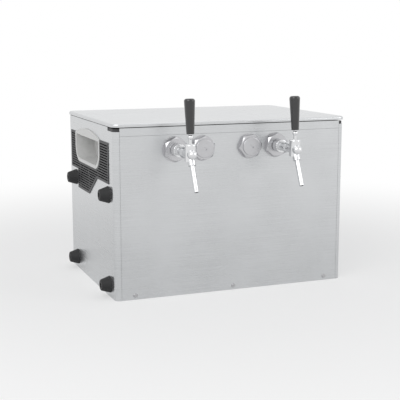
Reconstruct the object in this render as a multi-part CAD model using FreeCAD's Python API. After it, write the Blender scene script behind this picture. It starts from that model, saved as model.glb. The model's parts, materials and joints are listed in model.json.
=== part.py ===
import FreeCAD, Part
import math
import os
from FreeCAD import Vector

# Two-tap beer cooler: a sheet metal cabinet with a chilled water bath on the right and
# its refrigeration on the left. Millimetres, +X right, -Y towards the taps, +Z up,
# origin at the centre of the underside.

# cabinet
cabinet_width = 575.0
cabinet_depth = 410.0
cabinet_height = 400.0
corner_radius = 14.0
sheet = 1.2
fit_gap = 0.3
seam = 0.4
lid_edge = 8.0
lid_gap = 2.0
lid_overhang = 2.5
lid_bend = 4.5
lid_corner = 18.0
rail_height = 18.0
flange_depth = 12.0
base_upstand = 18.0
base_notch = 16.0
notch_height = 8.0
notch_depth = 45.0
base_fold_gap = 3.0
bore_gap = 0.1
cut_over = 1.0

# deck, bath and insulation
deck_drop = 1.5
deck_thickness = 10.0
tank_wall = 1.2
tank_left = -44.0
tank_right = 232.0
tank_half_depth = 170.0
tank_floor = 40.0
tank_corner = 20.0
tank_rim = 9.0
foam_left = -66.0
foam_half_depth = 186.0
mouth_margin = 6.0
passage_depth = 60.0
rim_gap = 0.5
gasket_width = 9.0
gasket_gap = 0.2

# ports and taps
port_drop = 61.0
port_centre = -20.5
outer_port_offset = 125.0
inner_port_offset = 58.0
shank_radius = 11.0
shank_bore = 3.5
port_clearance = 0.3
port_nut_flats = 50.0
port_nut_thickness = 11.0
port_nut_turns = (2.0, 12.0, 22.0, 9.0)
port_washer_radius = 29.0
port_washer_thickness = 2.0
blank_disc_radius = 21.0
blank_shank_length = 34.0
blank_disc_thickness = 3.0
blank_disc_round = 1.2
blank_slot_half_length = 5.0
blank_slot_half_width = 2.2
blank_slot_depth = 2.2
blank_slot_turn = 35.0
nut_taper = 0.4
tap_reach = 100.0
barrel_radius = 10.5
tap_barrel_start = 24.0
shank_reach = 22.0
shank_inside = 30.0
shank_collar = 15.0
shank_collar_thickness = 3.0
shank_tail_radius = 6.5
shank_tail_reach = 46.0
coupling_start = 15.0
coupling_length = 21.0
coupling_radius = 15.0
coupling_round = 1.5
coupling_grooves = 18
groove_radius = 1.3
groove_offset = 0.6
tower_radius = 12.5
tower_top = 11.0
tower_bottom = 15.0
barrel_past_tower = 12.0
barrel_collar_reach = 62.0
barrel_collar_length = 6.0
barrel_collar_rise = 2.0
spout_boss_rise = 3.2
spout_boss_length = 17.0
lever_way_half = 3.2
lever_way_front = 4.0
lever_way_back = 14.0
pivot_height = 17.0
bonnet_top = 22.0
bonnet_round = 3.0
bonnet_way_front = 10.0
bonnet_way_back = 4.6
foot_way_half = 2.6
foot_way_front = 3.0
foot_way_back = 9.0
lever_ball = 7.0
lever_stem = 3.5
lever_foot = 2.0
foot_ball = 3.0
lever_pin = 2.0
lever_pin_half = 10.5
lever_collar = 6.0
lever_collar_drop = 6.5
stem_in_handle = 14.0
plunger_radius = 5.5
plunger_length = 46.0
plunger_nose = 14.0
plunger_seat = 56.0
plunger_neck = 1.4
plunger_flat_front = 8.5
running_gap = 0.08
handle_length = 76.0
handle_base = 43.0
handle_bottom_radius = 8.5
handle_top_radius = 12.0
handle_lean = 4.0
handle_crown = 6.0
handle_crown_round = 5.5
handle_foot_round = 1.5
spout_radius = 5.25
spout_bore = 3.6
spout_angle = 25.0
spout_length = 74.0
spout_start = 11.0
spout_fit = 0.05

# side grilles and carrying cups, measured from the front face and from the floor
grille_front = 40.0
grille_back = 384.0
grille_bottom = 261.5
grille_top = 354.5
tongue_bottom = 214.0
tongue_front_top = 138.0
tongue_front_bottom = 212.0
tongue_back = 320.0
grille_proud = 1.5
grille_depth = 4.0
grille_lap = 4.0
grille_border = 6.0
slat_pitch = 6.0
slot_height = 3.0
slot_length = 80.0
slot_bar = 4.0
cup_centre = 222.0
cup_half_width = 112.0
cup_bottom = 283.0
cup_shoulder = 353.0
cup_crown = 370.0
cup_corner = 40.0
cup_depth = 45.0
cup_wall = 2.0
cup_flange = 6.0
cup_proud = 3.0
cup_lip_height = 14.0
cup_lip_depth = 7.0
cup_pocket = 1.0
cup_corner_least = 4.0

# rubber buffers on the left side
buffer_depths = (48.0, 345.0)
buffer_heights = (29.0, 237.0)
buffer_base = 19.5
buffer_tip = 12.5
buffer_length = 22.0
buffer_recess = 6.0
buffer_round = 3.0
buffer_head_gap = 1.0
buffer_head = 2.6
buffer_nut = 3.0
buffer_screw_past = 8.0
screw_radius = 2.2
screw_head = 4.2
screw_slot = 1.0
screw_slot_depth = 1.2

# front screws
front_screw_height = 10.0
front_screw_inset = 46.5
front_screw_head = 5.5
front_screw_length = 8.0
front_screw_rise = 2.2
front_screw_taper = 1.2
front_slot_half = 0.6

# hinge
hinge_span = 44.0
hinge_offset = 190.0
hinge_pin = 1.75
hinge_knuckle = 3.5
hinge_back = 7.0
hinge_leaf = 1.5
hinge_leaf_height = 34.0
hinge_pin_rise = 1.5
hinge_leaf_drop = 2.0
hinge_head = 1.4
hinge_head_gap = 0.2

# coils
coil_tube = 4.0
coil_pitch = 16.0
coil_bottom = 62.0
coil_turns = 15.5
evaporator_radius = 118.0
evaporator_pitch = 24.0
evaporator_bottom = 80.0
evaporator_turns = 9.0
evaporator_riser = 10.0
product_radius_1 = 96.0
product_radius_2 = 76.0
second_coil_drop = 12.0
line_rise = 16.0
inlet_rise = 6.0
feed_gap_1 = 20.0
feed_gap_2 = 34.0
inlet_spread = 30.0
pipe_gap = 0.6

# agitator
bridge_width = 60.0
bridge_drop = 15.0
bridge_hole_gap = 4.0
bridge_ear_drop = 2.0
bridge_thickness = 2.0
stirrer_motor_radius = 34.0
stirrer_motor_height = 20.0
stirrer_shaft = 3.0
stirrer_low = 108.0
impeller_radius = 26.0
impeller_height = 14.0
impeller_hub = 8.0
impeller_blades = 3
impeller_blade = 2.4
impeller_pitch = 35.0
stirrer_socket = 14.0
stirrer_shaft_in_motor = 13.0
stirrer_motor_round = 2.5

# compressor
compressor_x = -185.0
compressor_y = 108.0
compressor_radius = 62.0
compressor_bottom = 25.0
compressor_top = 168.0
stub_offset = 30.0
stub_rise = 10.0
stub_root = 6.0
stub_radius = 5.0
compressor_round = 22.0
outlet_stand_off = 6.0
outlet_length = 20.0
cover_half_width = 22.0
cover_root = 12.0
cover_proud = 14.0
cover_bottom = 70.0
cover_top = 120.0
outlet_offset = 15.0
outlet_height = 120.0
foot_half_x = 72.0
foot_half_y = 52.0
foot_thickness = 3.0
foot_inset = 11.0
grommet_radius = 9.0
grommet_neck = 2.9
stud_radius = 3.0
stud_washer_radius = 8.0
stud_washer = 1.5
stud_head_gap = 4.5
foot_hole_gap = 3.0

# condenser and fan
condenser_x = -225.0
condenser_thickness = 26.0
condenser_front = -180.0
condenser_back = 20.0
condenser_bottom = 40.0
condenser_rows = 8
condenser_row_pitch = 26.0
bend_reach = 8.0
line_step = 8.0
liquid_height = 30.0
pipe_radius = 3.2
capillary_radius = 2.0
suction_offset = 30.0
drier_x = -95.0
drier_y = 36.0
drier_bottom = 190.0
drier_length = 90.0
drier_radius = 10.0
drier_round = 6.0
outside_gap = 15.0
fin_thickness = 0.8
fin_pitch = 8.0
shroud_gap = 2.0
shroud_sheet = 2.0
fan_radius = 72.0
fan_tip_gap = 4.0
fan_hub = 18.0
fan_hub_length = 16.0
fan_blades = 5
tunnel_length = 22.0
motor_radius = 31.0
motor_length = 48.0
spider_arm = 10.0
spider_thickness = 3.0
shroud_ring = 2.0
shroud_foot = 16.0
spider_hole = 9.0
motor_round = 5.0
motor_socket = 25.0
fan_shaft_radius = 3.0
fan_shaft_start = 3.0
fan_shaft_in_motor = 22.0
fan_hub_start = 2.0
blade_start = 7.0
blade_thickness = 1.6
blade_half_width = 17.0
blade_root = 4.0
blade_twist = 20.0
tray_over = 3.0

# rear fittings
inlet_bore = 4.85
inlet_body = 9.0
inlet_flats = 24.0
inlet_length = 20.0
inlet_out = 16.0
inlet_in = 14.0
inlet_nut = 6.0
inlet_lock = 5.0
inlet_through = 2.8
socket_x = -185.0
socket_height = 70.0
socket_half_width = 30.0
socket_half_height = 24.0
socket_plate = 2.5
socket_cut_inset = 3.0
socket_body_inset = 3.3
socket_body_depth = 24.0
socket_well_inset = 6.0
socket_well_length = 24.0
socket_well_half = 8.0
socket_well_depth = 14.0
contact_spacing = 7.0
contact_half_width = 1.0
contact_half_height = 2.0
contact_tip = 3.0
earth_rise = 2.0
line_drop = -1.5
rocker_pocket_depth = 12.0
rocker_pocket_gap = 1.0
rocker_half_width = 7.0
rocker_half_height = 10.0
rocker_side_gap = 1.5
rocker_seat = 1.0
rocker_pin = 1.5
rocker_pin_past = 1.6
# outline of the rocker: (distance out of its pivot, share of the half height, inset)
rocker_outline = ((2.6, 1, -0.6), (2.0, 0, 0.0), (5.6, -1, 0.8),
                  (-2.0, -1, 1.6), (-4.0, 0, 0.0), (-2.0, 1, -1.6))
louvre_rows = 9
louvre_columns = 2
louvre_bottom = 150.0
louvre_pitch = 12.0
louvre_left = -245.0
louvre_spacing = 70.0
louvre_length = 60.0
louvre_height = 4.0
dial_x = -185.0
dial_height = 300.0
dial_radius = 18.0
dial_length = 14.0
dial_gap = 2.5
dial_round = 2.0
dial_grips = 12
dial_grip_radius = 2.6
dial_grip_offset = 1.2
dial_grip_start = 4.0
dial_mark_half = 0.8
dial_mark_start = 5.0
dial_mark_end = 2.0
dial_shaft = 3.0
dial_shaft_depth = 14.0
dial_hole_gap = 2.0
thermostat_neck = 1.7
thermostat_neck_out = 1.5
thermostat_bore = 16.0
thermostat_half_width = 22.0
thermostat_half_height = 16.0
thermostat_depth = 26.0

left = -cabinet_width / 2
right = cabinet_width / 2
front = -cabinet_depth / 2
back = cabinet_depth / 2
body_top = cabinet_height - lid_edge - lid_gap
panel_half = cabinet_width / 2 - corner_radius
inner_half_width = cabinet_width / 2 - sheet
inner_half_depth = cabinet_depth / 2 - sheet
rail_bottom = body_top - rail_height
deck_top = body_top - deck_drop
deck_bottom = deck_top - deck_thickness
tank_top = deck_bottom - fit_gap - tank_wall
bridge_height = tank_top - bridge_drop
bath_x = (tank_left + tank_right) / 2
port_height = cabinet_height - port_drop
line_height_1 = port_height + line_rise
line_height_2 = port_height
inlet_height = port_height + inlet_rise
ports = (port_centre - outer_port_offset, port_centre - inner_port_offset,
         port_centre + inner_port_offset, port_centre + outer_port_offset)
tap_ports = (ports[0], ports[3])
blank_ports = (ports[1], ports[2])
pivot_z = port_height + pivot_height
tap_y = front - tap_reach
hinge_y = back + hinge_back
hinge_pin_height = body_top + hinge_pin_rise


def box(x0, x1, y0, y1, z0, z1):
    return Part.makeBox(x1 - x0, y1 - y0, z1 - z0, Vector(x0, y0, z0))


def rod(start, direction, radius, length):
    return Part.makeCylinder(radius, length, Vector(*start), Vector(*direction))


def cone(start, direction, radius_1, radius_2, length):
    return Part.makeCone(radius_1, radius_2, length, Vector(*start), Vector(*direction))


def ball(centre, radius):
    return Part.makeSphere(radius, Vector(*centre))


def join(shapes):
    """One solid from overlapping or touching solids."""
    result = shapes[0]
    if len(shapes) > 1:
        result = shapes[0].multiFuse(shapes[1:])
    return result.removeSplitter()


def prism(half_x, half_y, radius, z0, z1, centre_x=0.0, centre_y=0.0):
    """Upright block with rounded vertical edges."""
    block = box(centre_x - half_x, centre_x + half_x, centre_y - half_y, centre_y + half_y, z0, z1)
    upright = [e for e in block.Edges if abs(e.Vertexes[0].Z - e.Vertexes[1].Z) > 0.5 * (z1 - z0)]
    return block.makeFillet(radius, upright)


def hexagon(centre, flats, length, turn=0.0):
    """Hexagonal block from centre towards -Y, with its corner turned from +Z."""
    reach = flats / 2 / math.cos(math.pi / 6)
    points = []
    for step in range(7):
        angle = math.radians(turn + 60.0 * step)
        points.append(Vector(centre[0] + reach * math.sin(angle), centre[1],
                             centre[2] + reach * math.cos(angle)))
    face = Part.Face(Part.makePolygon(points))
    return face.extrude(Vector(0, -length, 0))


def chamfered_nut(centre, flats, length, turn):
    """Hexagonal block whose outer corners are rounded off by a cone."""
    reach = flats / 2 / math.cos(math.pi / 6)
    slope = reach - flats / 2
    skirt = cone((centre[0], centre[1], centre[2]), (0, -1, 0), reach + length - slope,
                 flats / 2 - nut_taper, length)
    return hexagon(centre, flats, length, turn).common(skirt)


def tube_run(points, radius):
    """Pipe through a list of points, with a ball at each bend."""
    pieces = []
    for start, end in zip(points[:-1], points[1:]):
        way = Vector(*end) - Vector(*start)
        if way.Length > 0.01:
            pieces.append(Part.makeCylinder(radius, way.Length, Vector(*start), way))
    for corner in points[1:-1]:
        pieces.append(ball(corner, radius))
    return join(pieces)


def coil(centre_x, radius, tube, pitch, turns, bottom, first_angle):
    """Round coil swept along a helix that starts at first_angle degrees from +X."""
    path = Part.makeHelix(pitch, pitch * turns, radius)
    profile = Part.Wire([Part.makeCircle(tube, Vector(radius, 0, 0), Vector(0, 1, 0))])
    body = Part.Wire(path).makePipeShell([profile], True, True)
    body.rotate(Vector(0, 0, 0), Vector(0, 0, 1), first_angle)
    body.translate(Vector(centre_x, 0, bottom))
    return body


def coil_end(centre_x, radius, height, angle):
    turned = math.radians(angle)
    return (centre_x + radius * math.cos(turned), radius * math.sin(turned), height)


# ---- cabinet ----

def side_face(points, x):
    """Flat face on a side wall from (distance behind the front, height) pairs."""
    corners = [Vector(x, front + depth, height) for depth, height in points]
    return Part.Face(Part.makePolygon(corners + corners[:1]))


def grille_points(shrink):
    """Louvre panel outline: a long rectangle with a tongue under its rear half."""
    diagonal = shrink * 0.5
    return [
        (grille_front + shrink, grille_top - shrink),
        (grille_back - shrink, grille_top - shrink),
        (grille_back - shrink, grille_bottom + shrink),
        (tongue_back - shrink, grille_bottom + shrink),
        (tongue_back - shrink, tongue_bottom + shrink),
        (tongue_front_bottom + diagonal, tongue_bottom + shrink),
        (tongue_front_top + diagonal, grille_bottom + shrink),
        (grille_front + shrink, grille_bottom + shrink),
    ]


def grille_block(shrink, x0, x1):
    return side_face(grille_points(shrink), x0).extrude(Vector(x1 - x0, 0, 0))


def cup_block(shrink, x0, x1):
    """Carrying cup outline with an arched top and wide lower corners, as a block."""
    half = cup_half_width - shrink
    low = cup_bottom + shrink
    shoulder = cup_shoulder - shrink * 0.5
    crown = cup_crown - shrink
    corner = max(cup_corner - shrink, cup_corner_least)
    middle = front + cup_centre
    block = box(x0, x1, middle - half, middle + half, low, crown + 1.0)
    lower = [e for e in block.Edges
             if abs(e.Vertexes[0].X - e.Vertexes[1].X) > 0.5 * abs(x1 - x0)
             and abs(e.Vertexes[0].Z - low) < 0.01]
    block = block.makeFillet(corner, lower)
    rise = crown - shoulder
    arch_radius = (half * half + rise * rise) / (2 * rise)
    arch = rod((x0, middle, crown - arch_radius), (1, 0, 0), arch_radius, x1 - x0)
    return block.common(arch)


def side_panel(side):
    """Side sheet that wraps both upright corners; side is -1 for left and 1 for right."""
    outer = prism(cabinet_width / 2, cabinet_depth / 2, corner_radius, 0.0, body_top)
    inner = prism(inner_half_width, inner_half_depth, corner_radius - sheet, -1.0, body_top + 1.0)
    x0 = min(side * panel_half, side * (cabinet_width / 2 + 1))
    x1 = max(side * panel_half, side * (cabinet_width / 2 + 1))
    panel = outer.cut(inner).common(box(x0, x1, front - 1, back + 1, 0.0, body_top))
    fold = min(side * panel_half, side * (panel_half + sheet))
    returns = [box(fold, fold + sheet, front, front + flange_depth, 0.0, rail_bottom - sheet),
               box(fold, fold + sheet, back - flange_depth, back, 0.0, rail_bottom - sheet)]
    panel = join([panel, *returns])
    panel = panel.cut(box(x0 - 1, x1, front - 1, front + notch_depth, body_top - notch_height,
                          body_top + 1))
    opening = cup_block(cup_flange - rim_gap, left - 1, left + 4)
    if side < 0:
        panel = panel.cut(grille_block(grille_lap, left - 1, left + 4)).cut(opening)
        for place in buffer_places():
            panel = panel.cut(rod((left - 1, *place), (1, 0, 0), screw_radius + fit_gap, sheet + 2))
        return panel
    return panel.cut(mirrored(opening))


def base_plate(shrink, z0, z1):
    wide = inner_half_width - fit_gap - shrink
    long = inner_half_depth - fit_gap - shrink
    narrow = panel_half - base_fold_gap - shrink
    short = cabinet_depth / 2 - base_notch - shrink
    return join([box(-wide, wide, -short, short, z0, z1), box(-narrow, narrow, -long, long, z0, z1)])


def base_pan():
    pan = base_plate(0.0, 0.0, base_upstand).cut(base_plate(sheet, sheet, base_upstand + 1))
    for x in front_screw_places():
        pan = pan.cut(rod((x, front, front_screw_height), (0, 1, 0), screw_radius + bore_gap,
                          front_screw_length))
    return pan


def front_screw_places():
    reach = cabinet_width / 2 - front_screw_inset
    return (-reach, 0.0, reach)


def front_panel():
    half = panel_half - seam
    top = rail_bottom - seam
    panel = box(-half, half, front, front + flange_depth, seam, top)
    panel = panel.cut(box(-half + sheet, half - sheet, front + sheet, front + flange_depth + 1,
                          -1.0, top - sheet))
    for x in ports:
        panel = panel.cut(rod((x, front - 1, port_height), (0, 1, 0), shank_radius + port_clearance,
                              sheet + 2))
    for x in front_screw_places():
        panel = panel.cut(rod((x, front - 1, front_screw_height), (0, 1, 0),
                              screw_radius + fit_gap, sheet + 2))
    return panel


def front_rail():
    half = panel_half - seam
    face = box(-half, half, front, front + sheet, rail_bottom, body_top)
    foot = box(-half, half, front, front + flange_depth, rail_bottom, rail_bottom + sheet)
    return join([face, foot])


def screws_towards_inside(places, head, length):
    """Pan head screws driven along +Y at the front face."""
    screws = []
    for x in places:
        shaft = rod((x, front, front_screw_height), (0, 1, 0), screw_radius, length)
        cap = cone((x, front, front_screw_height), (0, -1, 0), head, head - front_screw_taper,
                   front_screw_rise)
        slot = box(x - head, x + head, front - front_screw_rise - cut_over,
                   front - front_screw_rise + screw_slot,
                   front_screw_height - front_slot_half, front_screw_height + front_slot_half)
        screws.append(join([shaft, cap]).cut(slot))
    return Part.makeCompound(screws)


def back_panel():
    half = panel_half - seam
    panel = box(-half, half, back - flange_depth, back, seam, body_top)
    panel = panel.cut(box(-half + sheet, half - sheet, back - flange_depth - 1, back - sheet,
                          -1.0, body_top + 1))
    for side in (-1, 1):
        x0 = min(side * (half - sheet - 1), side * (half + 1))
        panel = panel.cut(box(x0, x0 + sheet + 2, back - flange_depth - 1, back - sheet,
                              rail_bottom - sheet, body_top + 1))
    for row in range(louvre_rows):
        z = louvre_bottom + louvre_pitch * row
        for column in range(louvre_columns):
            x = louvre_left + louvre_spacing * column
            panel = panel.cut(box(x, x + louvre_length, back - sheet - 1, back + 1,
                                  z, z + louvre_height))
    for x in inlet_places():
        panel = panel.cut(rod((x, back - sheet - 1, inlet_height), (0, 1, 0),
                              inlet_body + fit_gap, sheet + 2))
    half_width = socket_half_width - socket_cut_inset
    half_height = socket_half_height - socket_cut_inset
    panel = panel.cut(box(socket_x - half_width, socket_x + half_width, back - sheet - 1, back + 1,
                          socket_height - half_height, socket_height + half_height))
    panel = panel.cut(rod((dial_x, back - sheet - 1, dial_height), (0, 1, 0),
                          dial_shaft + dial_hole_gap, sheet + 2))
    return panel


def deck():
    half_x = inner_half_width - fit_gap
    half_y = inner_half_depth - fit_gap
    plate = prism(half_x, half_y, corner_radius - sheet - fit_gap, deck_bottom, deck_top)
    mouth = prism((tank_right - tank_left) / 2 - mouth_margin, tank_half_depth - mouth_margin,
                  tank_corner - mouth_margin, deck_bottom - 1, deck_top + 1, bath_x)
    return plate.cut(mouth)


# ---- bath ----

def inner_tank():
    half_x = (tank_right - tank_left) / 2
    shell = prism(half_x, tank_half_depth, tank_corner, tank_floor, tank_top, bath_x)
    rim = prism(half_x + tank_rim, tank_half_depth + tank_rim, tank_corner + tank_rim,
                tank_top, tank_top + tank_wall, bath_x)
    hollow = prism(half_x - tank_wall, tank_half_depth - tank_wall, tank_corner - tank_wall,
                   tank_floor + tank_wall, tank_top + tank_wall + 1, bath_x)
    return join([shell, rim]).cut(hollow).cut(wall_passages())


def insulation():
    right_side = inner_half_width - fit_gap - sheet - fit_gap
    block = box(foam_left, right_side, -foam_half_depth, foam_half_depth, sheet + fit_gap, tank_top)
    half_x = (tank_right - tank_left) / 2 + fit_gap
    hollow = prism(half_x, tank_half_depth + fit_gap, tank_corner + fit_gap,
                   tank_floor - fit_gap, tank_top + 1, bath_x)
    pocket = cup_block(cup_flange - cup_pocket, left, left + cup_depth + cup_pocket)
    return block.cut(hollow).cut(mirrored(pocket)).cut(wall_passages())


def wall_passages():
    """Every hole that a pipe or a shank makes through the bath walls."""
    pipe = coil_tube + pipe_gap
    deep = passage_depth
    holes = []
    for x in ports[2:]:
        holes.append(rod((x, front, port_height), (0, 1, 0), shank_radius + port_clearance, deep))
    holes.append(rod((foam_left - 5, -product_radius_1, line_height_1), (1, 0, 0), pipe, deep))
    for height in (line_height_2, line_height_1):
        holes.append(rod((foam_left - 5, 0.0, height), (1, 0, 0), pipe, deep))
    for x in inlet_places():
        holes.append(rod((x, tank_half_depth - 10, inlet_height), (0, 1, 0), pipe, deep))
    return Part.makeCompound(holes)


def inlet_places():
    return (bath_x - inlet_spread, bath_x + inlet_spread)


def product_coil_1():
    top = coil_bottom + coil_pitch * coil_turns
    body = coil(bath_x, product_radius_1, coil_tube, coil_pitch, coil_turns, coil_bottom, 90.0)
    upper = coil_end(bath_x, product_radius_1, top, 270.0)
    lower = coil_end(bath_x, product_radius_1, coil_bottom, 90.0)
    out = tube_run([upper, (upper[0], upper[1], line_height_1), (ports[0], upper[1], line_height_1),
                    (ports[0], upper[1], port_height), (ports[0], shank_tail_y(), port_height)],
                   coil_tube)
    riser = evaporator_radius + feed_gap_1
    inlet = inlet_places()[0]
    feed = tube_run([lower, (lower[0], riser, lower[2]), (lower[0], riser, inlet_height),
                     (inlet, riser, inlet_height), (inlet, inlet_inner_y(), inlet_height)], coil_tube)
    return join([body, ball(upper, coil_tube), ball(lower, coil_tube), out, feed])


def product_coil_2():
    bottom = coil_bottom - second_coil_drop
    top = bottom + coil_pitch * coil_turns
    body = coil(bath_x, product_radius_2, coil_tube, coil_pitch, coil_turns, bottom, 90.0)
    upper = coil_end(bath_x, product_radius_2, top, 270.0)
    lower = coil_end(bath_x, product_radius_2, bottom, 90.0)
    out = tube_run([upper, (upper[0], upper[1], line_height_2),
                    (ports[3], upper[1] - 20.0, line_height_2),
                    (ports[3], shank_tail_y(), port_height)], coil_tube)
    riser = evaporator_radius + feed_gap_2
    inlet = inlet_places()[1]
    feed = tube_run([lower, (lower[0], riser, lower[2]), (lower[0], riser, inlet_height),
                     (inlet, riser, inlet_height), (inlet, inlet_inner_y(), inlet_height)], coil_tube)
    return join([body, ball(upper, coil_tube), ball(lower, coil_tube), out, feed])


def evaporator_coil():
    top = evaporator_bottom + evaporator_pitch * evaporator_turns
    body = coil(bath_x, evaporator_radius, coil_tube, evaporator_pitch, evaporator_turns,
                evaporator_bottom, 180.0)
    upper = coil_end(bath_x, evaporator_radius, top, 180.0)
    lower = coil_end(bath_x, evaporator_radius, evaporator_bottom, 180.0)
    outside = foam_left - outside_gap
    suction = tube_run([upper, (upper[0], 0.0, line_height_1), (outside, 0.0, line_height_1)], coil_tube)
    near_wall = lower[0] - evaporator_riser
    feed = tube_run([lower, (near_wall, 0.0, lower[2]), (near_wall, 0.0, line_height_2),
                     (outside, 0.0, line_height_2)], coil_tube)
    return join([body, ball(upper, coil_tube), ball(lower, coil_tube), suction, feed,
                 suction_line(outside), capillary_line(outside)])


def agitator_bridge():
    reach = tank_half_depth - tank_wall
    strip = box(bath_x - bridge_width / 2, bath_x + bridge_width / 2, -reach, reach,
                bridge_height, bridge_height + bridge_thickness)
    ends = []
    for side in (-1, 1):
        y0 = min(side * reach, side * (reach - bridge_thickness))
        ends.append(box(bath_x - bridge_width / 2, bath_x + bridge_width / 2, y0,
                        y0 + bridge_thickness, bridge_height, tank_top - bridge_ear_drop))
    hole = rod((bath_x, 0, bridge_height - 1), (0, 0, 1), stirrer_shaft + bridge_hole_gap,
               bridge_thickness + 2)
    return join([strip, *ends]).cut(hole)


def agitator_motor():
    low = bridge_height + bridge_thickness
    can = rod((bath_x, 0, low), (0, 0, 1), stirrer_motor_radius, stirrer_motor_height)
    can = can.makeFillet(stirrer_motor_round, [can.Edges[0]])
    socket = rod((bath_x, 0, low - 1), (0, 0, 1), stirrer_shaft + running_gap,
                 stirrer_socket + 1)
    return can.cut(socket)


def agitator_shaft():
    top = bridge_height + bridge_thickness + stirrer_shaft_in_motor
    return rod((bath_x, 0, stirrer_low), (0, 0, 1), stirrer_shaft, top - stirrer_low)


def agitator_impeller():
    hub = rod((bath_x, 0, stirrer_low), (0, 0, 1), impeller_hub, impeller_height)
    blades = [hub]
    for step in range(impeller_blades):
        blade = box(impeller_hub / 2, impeller_radius, -impeller_blade / 2, impeller_blade / 2,
                    1.0, impeller_height - 1.0)
        blade.rotate(Vector(0, 0, impeller_height / 2), Vector(1, 0, 0), impeller_pitch)
        blade.rotate(Vector(0, 0, 0), Vector(0, 0, 1), 360.0 / impeller_blades * step)
        blade.translate(Vector(bath_x, 0, stirrer_low))
        blades.append(blade)
    bore = rod((bath_x, 0, stirrer_low - 1), (0, 0, 1), stirrer_shaft, impeller_height + 2)
    return join(blades).cut(bore)


# ---- lid ----

def lid_shell():
    half_x = cabinet_width / 2 + lid_overhang
    half_y = cabinet_depth / 2 + lid_overhang
    low = cabinet_height - lid_edge
    cover = prism(half_x, half_y, lid_corner, low, cabinet_height)
    rim = [e for e in cover.Edges
           if all(abs(v.Z - cabinet_height) < 0.01 for v in e.Vertexes)]
    cover = cover.makeFillet(lid_bend, rim)
    hollow = prism(half_x - sheet, half_y - sheet, lid_corner - sheet, low - 1, cabinet_height - sheet)
    top_rim = [e for e in hollow.Edges
               if all(abs(v.Z - (cabinet_height - sheet)) < 0.01 for v in e.Vertexes)]
    hollow = hollow.makeFillet(lid_bend - sheet, top_rim)
    return cover.cut(hollow)


def lid_liner():
    half_x = cabinet_width / 2 + lid_overhang - sheet - fit_gap
    half_y = cabinet_depth / 2 + lid_overhang - sheet - fit_gap
    low = cabinet_height - lid_edge + rim_gap
    liner = prism(half_x, half_y, lid_corner - sheet - fit_gap, low, cabinet_height - sheet)
    rim = [e for e in liner.Edges
           if all(abs(v.Z - (cabinet_height - sheet)) < 0.01 for v in e.Vertexes)]
    return liner.makeFillet(lid_bend - sheet, rim)


def lid_gasket():
    half_x = (tank_right - tank_left) / 2
    low = deck_top + gasket_gap
    high = cabinet_height - lid_edge + rim_gap
    outer = prism(half_x + gasket_width / 2, tank_half_depth + gasket_width / 2, tank_corner,
                  low, high, bath_x)
    inner = prism(half_x - gasket_width / 2, tank_half_depth - gasket_width / 2,
                  tank_corner - gasket_width, low - 1, high + 1, bath_x)
    return outer.cut(inner)


def hinge_parts(on_lid):
    """Leaves of both hinges: the outer knuckles are the cabinet's, the middle one is the lid's."""
    leaves = []
    third = hinge_span / 3
    rear = back + lid_overhang
    for side in (-1, 1):
        x0 = side * hinge_offset - hinge_span / 2
        bore = rod((x0 - 1, hinge_y, hinge_pin_height), (1, 0, 0), hinge_pin + running_gap,
                   hinge_span + 2)
        if on_lid:
            x1 = x0 + third + fit_gap
            x2 = x0 + 2 * third - fit_gap
            knuckle = rod((x1, hinge_y, hinge_pin_height), (1, 0, 0), hinge_knuckle, x2 - x1)
            arm = box(x1, x2, rear, hinge_y, hinge_pin_height + hinge_knuckle - hinge_leaf,
                      hinge_pin_height + hinge_knuckle)
            plate = box(x1, x2, rear, rear + hinge_leaf, cabinet_height - lid_edge,
                        cabinet_height - lid_bend)
            leaves.append(join([knuckle, arm, plate]).cut(bore))
        else:
            pieces = [box(x0, x0 + hinge_span, back, back + hinge_leaf,
                          body_top - hinge_leaf_drop - hinge_leaf_height,
                          body_top - hinge_leaf_drop)]
            for x1 in (x0, x0 + 2 * third):
                pieces.append(rod((x1, hinge_y, hinge_pin_height), (1, 0, 0), hinge_knuckle, third))
                pieces.append(box(x1, x1 + third, back, hinge_y,
                                  hinge_pin_height - hinge_knuckle,
                                  hinge_pin_height - hinge_knuckle + hinge_leaf))
            leaves.append(join(pieces).cut(bore))
    return Part.makeCompound(leaves)


def hinge_pins():
    pins = []
    for side in (-1, 1):
        x0 = side * hinge_offset - hinge_span / 2
        shaft = rod((x0 - hinge_head, hinge_y, hinge_pin_height), (1, 0, 0), hinge_pin,
                    hinge_span + 2 * hinge_head)
        heads = [shaft]
        for x in (x0 - hinge_head - hinge_head_gap, x0 + hinge_span + hinge_head_gap):
            heads.append(rod((x, hinge_y, hinge_pin_height), (1, 0, 0), hinge_knuckle - rim_gap,
                             hinge_head))
        pins.append(join(heads))
    return Part.makeCompound(pins)


# ---- sides ----

def mirrored(shape):
    return shape.mirror(Vector(0, 0, 0), Vector(1, 0, 0))


def slot_bars(x0, x1):
    """Blocks of every slot in the louvre panel."""
    slots = []
    rows = int((grille_top - tongue_bottom - 2 * grille_border) / slat_pitch)
    columns = int((grille_back - grille_front) / (slot_length + slot_bar)) + 1
    for row in range(rows + 1):
        z = grille_top - grille_border - slot_height - row * slat_pitch
        for column in range(columns):
            y = front + grille_front + grille_border + column * (slot_length + slot_bar)
            slots.append(box(x0, x1, y, y + slot_length, z, z + slot_height))
    return Part.makeCompound(slots)


def side_grille():
    outer = left - grille_proud
    flange = grille_block(0.0, outer, left)
    plug = grille_block(grille_lap + fit_gap, left, left + grille_depth)
    panel = join([flange, plug])
    panel = panel.cut(cup_block(-fit_gap, outer - 1, left + grille_depth + 1))
    clear = grille_block(grille_border, outer - 1, left + grille_depth + 1)
    clear = clear.cut(cup_block(-slot_bar, outer - 2, left + grille_depth + 2))
    slots = slot_bars(outer - 1, left + grille_depth + 1).common(clear)
    return panel.cut(slots)


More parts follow.
